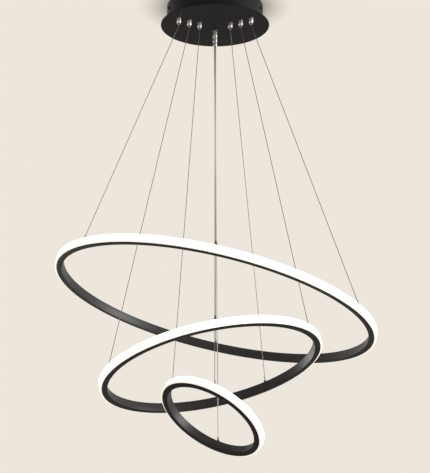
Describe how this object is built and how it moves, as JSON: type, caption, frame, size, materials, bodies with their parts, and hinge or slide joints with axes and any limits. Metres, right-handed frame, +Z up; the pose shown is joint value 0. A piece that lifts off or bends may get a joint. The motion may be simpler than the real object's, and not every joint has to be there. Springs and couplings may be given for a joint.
{
  "type": "ring chandelier",
  "caption": "Round ceiling canopy with cable grippers carrying tilted, outward-lit rings of falling size on thin steel wires.",
  "frame": {"origin": "centre of the canopy on the ceiling plane, midway between the bracket's two screw slots", "axes": "+Z up into the ceiling; -Y towards the viewer of the picture; +X to that viewer's right"},
  "size_m": [0.5866, 0.5972, 0.8446],
  "materials": {
    "black_coated_aluminium": "bent extrusion, satin black powder coat",
    "black_coated_steel": "satin black powder coat",
    "white_silicone": "opal white, smooth matt",
    "satin_chrome": "satin plated",
    "steel_wire": "fine stranded steel",
    "cord_sheath": "grey-brown sheath",
    "dark_fitting": "dark plated",
    "dark_plastic": "black moulded",
    "black_rubber": "matt",
    "zinc_steel": "zinc plated",
    "white_plastic": "moulded",
    "clear_white_plastic": "moulded",
    "circuit_board": "solder mask",
    "lead_insulation": "thin insulation",
    "strip_board": "white strip",
    "led_phosphor": "phosphor"
  },
  "bodies": {
    "canopy": {"canopy_drum": "black_coated_steel", "canopy_plate": "black_coated_steel", "plate_fasteners": "zinc_steel", "ceiling_bracket": "zinc_steel", "side_screws": "black_coated_steel", "gripper_barrels": "satin_chrome", "gripper_nuts": "zinc_steel", "cord_outlet": "black_rubber", "driver_case": "white_plastic", "driver_cover": "white_plastic", "driver_board": "circuit_board", "terminal_block": "clear_white_plastic", "mains_leads": "lead_insulation", "wire_left_outer": "steel_wire", "wire_right_outer": "steel_wire", "wire_far_outer": "steel_wire", "power_cord_big_ring": "cord_sheath", "wire_left_middle": "steel_wire", "wire_right_middle": "steel_wire", "wire_right_inner": "steel_wire", "power_cord_middle_ring": "cord_sheath", "wire_left_inner": "steel_wire", "wire_far_inner": "steel_wire", "power_cord_small_ring": "cord_sheath"},
    "big_ring": {"big_ring_channel": "black_coated_aluminium", "big_ring_diffuser": "white_silicone", "big_ring_led_strip": "strip_board", "big_ring_led_chips": "led_phosphor", "big_ring_splice_plate": "zinc_steel", "big_ring_sockets": "dark_fitting", "big_ring_socket_nuts": "zinc_steel", "big_ring_wire_ends": "dark_fitting", "big_ring_cord_gland": "dark_plastic"},
    "middle_ring": {"middle_ring_channel": "black_coated_aluminium", "middle_ring_diffuser": "white_silicone", "middle_ring_led_strip": "strip_board", "middle_ring_led_chips": "led_phosphor", "middle_ring_splice_plate": "zinc_steel", "middle_ring_sockets": "dark_fitting", "middle_ring_socket_nuts": "zinc_steel", "middle_ring_wire_ends": "dark_fitting", "middle_ring_cord_gland": "dark_plastic"},
    "small_ring": {"small_ring_channel": "black_coated_aluminium", "small_ring_diffuser": "white_silicone", "small_ring_led_strip": "strip_board", "small_ring_led_chips": "led_phosphor", "small_ring_splice_plate": "zinc_steel", "small_ring_sockets": "dark_fitting", "small_ring_socket_nuts": "zinc_steel", "small_ring_wire_ends": "dark_fitting", "small_ring_cord_gland": "dark_plastic"},
    "release_sleeve_left_inner": {"release_sleeve_left_inner": "satin_chrome"},
    "release_sleeve_left_middle": {"release_sleeve_left_middle": "satin_chrome"},
    "release_sleeve_left_outer": {"release_sleeve_left_outer": "satin_chrome"},
    "release_sleeve_right_inner": {"release_sleeve_right_inner": "satin_chrome"},
    "release_sleeve_right_middle": {"release_sleeve_right_middle": "satin_chrome"},
    "release_sleeve_right_outer": {"release_sleeve_right_outer": "satin_chrome"},
    "release_sleeve_far_inner": {"release_sleeve_far_inner": "satin_chrome"},
    "release_sleeve_far_middle": {"release_sleeve_far_middle": "satin_chrome"},
    "release_sleeve_far_outer": {"release_sleeve_far_outer": "satin_chrome"}
  },
  "joints": [
    {"name": "big_ring_lift", "type": "slide", "parent": "canopy", "child": "big_ring", "axis": [0, 0, 1], "range_m": [-0.05, 0.1], "deforming": ["wire_left_outer", "wire_right_outer", "wire_far_outer", "power_cord_big_ring"]},
    {"name": "middle_ring_lift", "type": "slide", "parent": "canopy", "child": "middle_ring", "axis": [0, 0, 1], "range_m": [-0.05, 0.1], "deforming": ["wire_left_middle", "wire_right_middle", "wire_right_inner", "power_cord_middle_ring"]},
    {"name": "small_ring_lift", "type": "slide", "parent": "canopy", "child": "small_ring", "axis": [0, 0, 1], "range_m": [-0.05, 0.1], "deforming": ["wire_left_inner", "wire_far_inner", "power_cord_small_ring"]},
    {"name": "release_left_inner", "type": "slide", "parent": "canopy", "child": "release_sleeve_left_inner", "axis": [0, 0, 1], "range_m": [0, 0.002], "stiffness_N_per_m": 800, "springref_m": -0.001},
    {"name": "release_left_middle", "type": "slide", "parent": "canopy", "child": "release_sleeve_left_middle", "axis": [0, 0, 1], "range_m": [0, 0.002], "stiffness_N_per_m": 800, "springref_m": -0.001},
    {"name": "release_left_outer", "type": "slide", "parent": "canopy", "child": "release_sleeve_left_outer", "axis": [0, 0, 1], "range_m": [0, 0.002], "stiffness_N_per_m": 800, "springref_m": -0.001},
    {"name": "release_right_inner", "type": "slide", "parent": "canopy", "child": "release_sleeve_right_inner", "axis": [0, 0, 1], "range_m": [0, 0.002], "stiffness_N_per_m": 800, "springref_m": -0.001},
    {"name": "release_right_middle", "type": "slide", "parent": "canopy", "child": "release_sleeve_right_middle", "axis": [0, 0, 1], "range_m": [0, 0.002], "stiffness_N_per_m": 800, "springref_m": -0.001},
    {"name": "release_right_outer", "type": "slide", "parent": "canopy", "child": "release_sleeve_right_outer", "axis": [0, 0, 1], "range_m": [0, 0.002], "stiffness_N_per_m": 800, "springref_m": -0.001},
    {"name": "release_far_inner", "type": "slide", "parent": "canopy", "child": "release_sleeve_far_inner", "axis": [0, 0, 1], "range_m": [0, 0.002], "stiffness_N_per_m": 800, "springref_m": -0.001},
    {"name": "release_far_middle", "type": "slide", "parent": "canopy", "child": "release_sleeve_far_middle", "axis": [0, 0, 1], "range_m": [0, 0.002], "stiffness_N_per_m": 800, "springref_m": -0.001},
    {"name": "release_far_outer", "type": "slide", "parent": "canopy", "child": "release_sleeve_far_outer", "axis": [0, 0, 1], "range_m": [0, 0.002], "stiffness_N_per_m": 800, "springref_m": -0.001}
  ]
}
